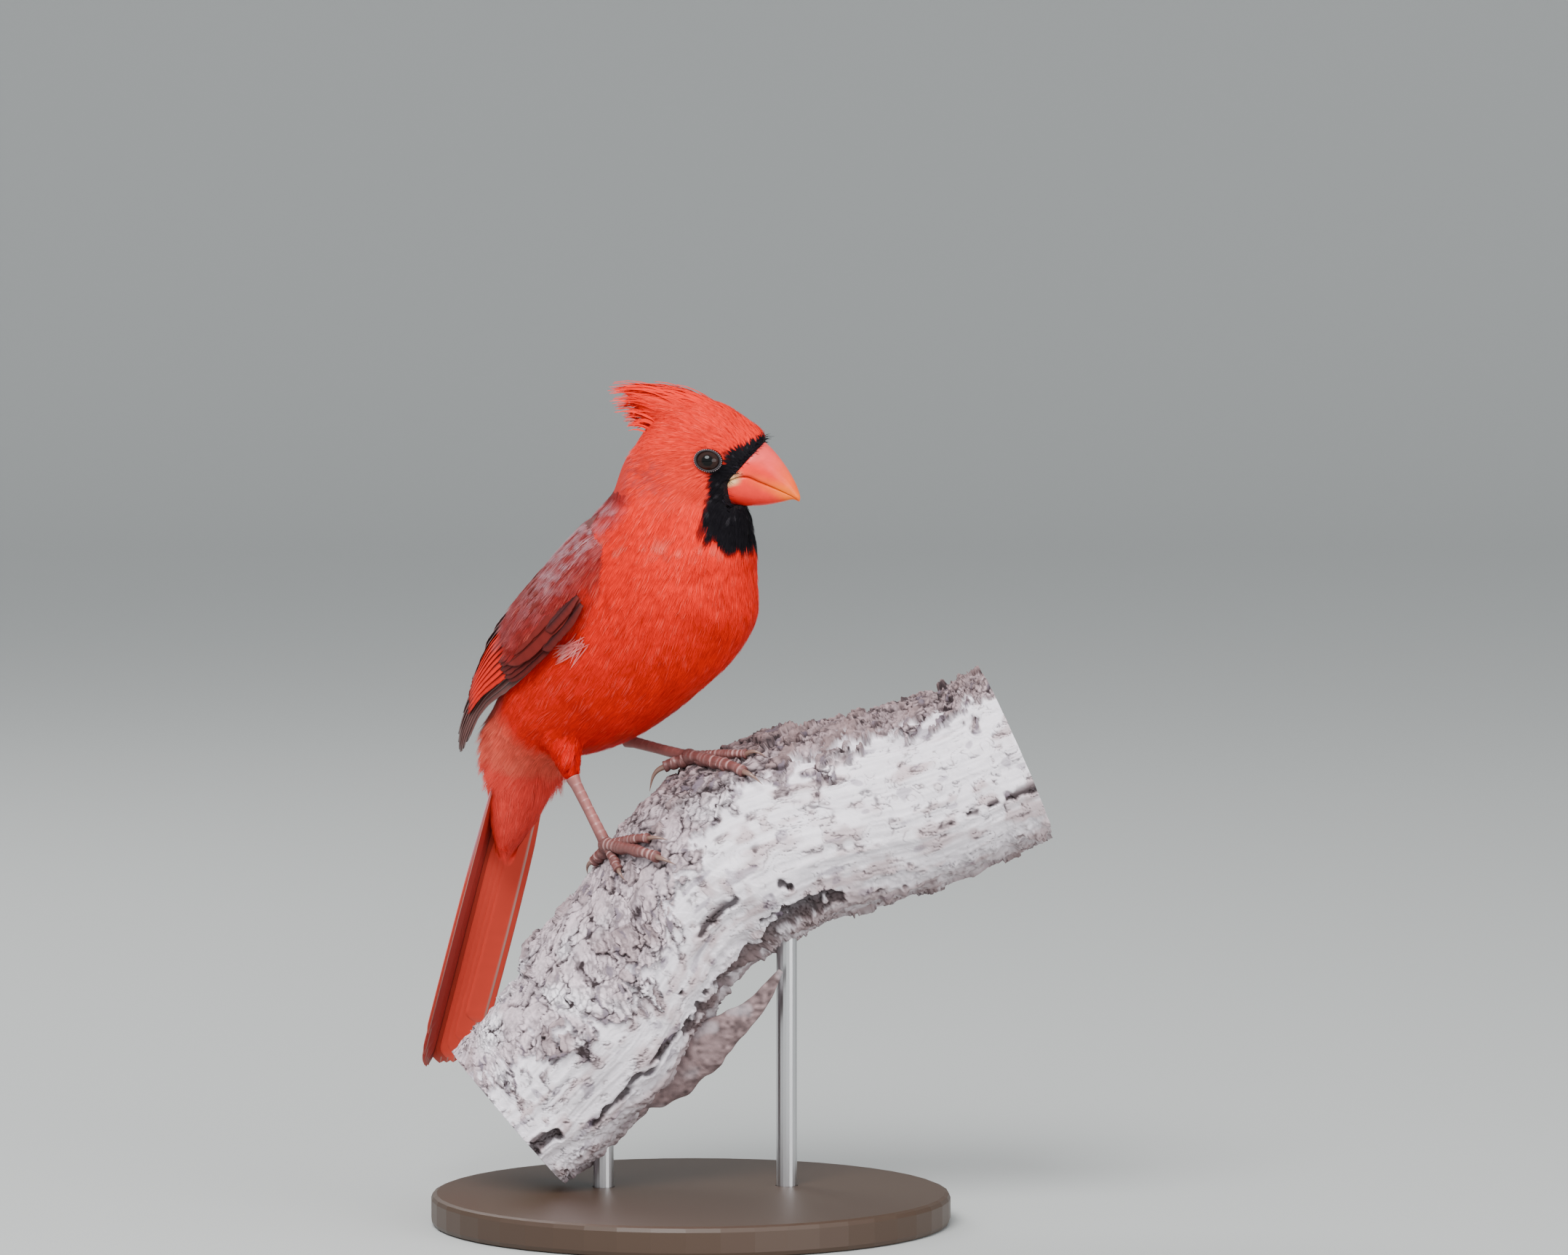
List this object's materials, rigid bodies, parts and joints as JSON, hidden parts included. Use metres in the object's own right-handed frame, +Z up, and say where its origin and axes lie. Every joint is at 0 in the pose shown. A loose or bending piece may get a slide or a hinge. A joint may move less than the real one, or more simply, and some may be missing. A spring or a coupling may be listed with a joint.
{
  "type": "northern cardinal model",
  "caption": "Life-size still model of a male northern cardinal gripping a cut length of branch, held by a round display stand with two rods.",
  "frame": {"origin": "centre of the stand's flat underside", "axes": "+X the way the bird's body faces, +Y to the bird's left, +Z up"},
  "size_m": [0.1806, 0.1676, 0.244],
  "materials": {
    "plumage": "soft scarlet body feathers",
    "flight_feathers": "dusky red flight feathers with brighter edges",
    "tail_feathers": "rose-red tail feathers with pale shafts",
    "bill": "coral horn with a soft shine",
    "eye": "wet dark brown",
    "leg": "pinkish brown scaled skin",
    "bark": "bleached, cracked bark",
    "stand_wood": "dark satin wood",
    "stand_steel": "brushed"
  },
  "bodies": {
    "root": {"head": "plumage", "neck": "plumage", "torso": "plumage", "thigh_right": "plumage", "thigh_left": "plumage", "wing_right": "flight_feathers", "wing_left": "flight_feathers", "tail": "tail_feathers", "bill_upper": "bill", "bill_lower": "bill", "eye_right": "eye", "eye_left": "eye", "shank_right": "leg", "shank_left": "leg", "foot_right": "leg", "foot_left": "leg", "perch": "bark", "stand_base": "stand_wood", "stand_rod_1": "stand_steel", "stand_rod_2": "stand_steel"}
  },
  "joints": []
}
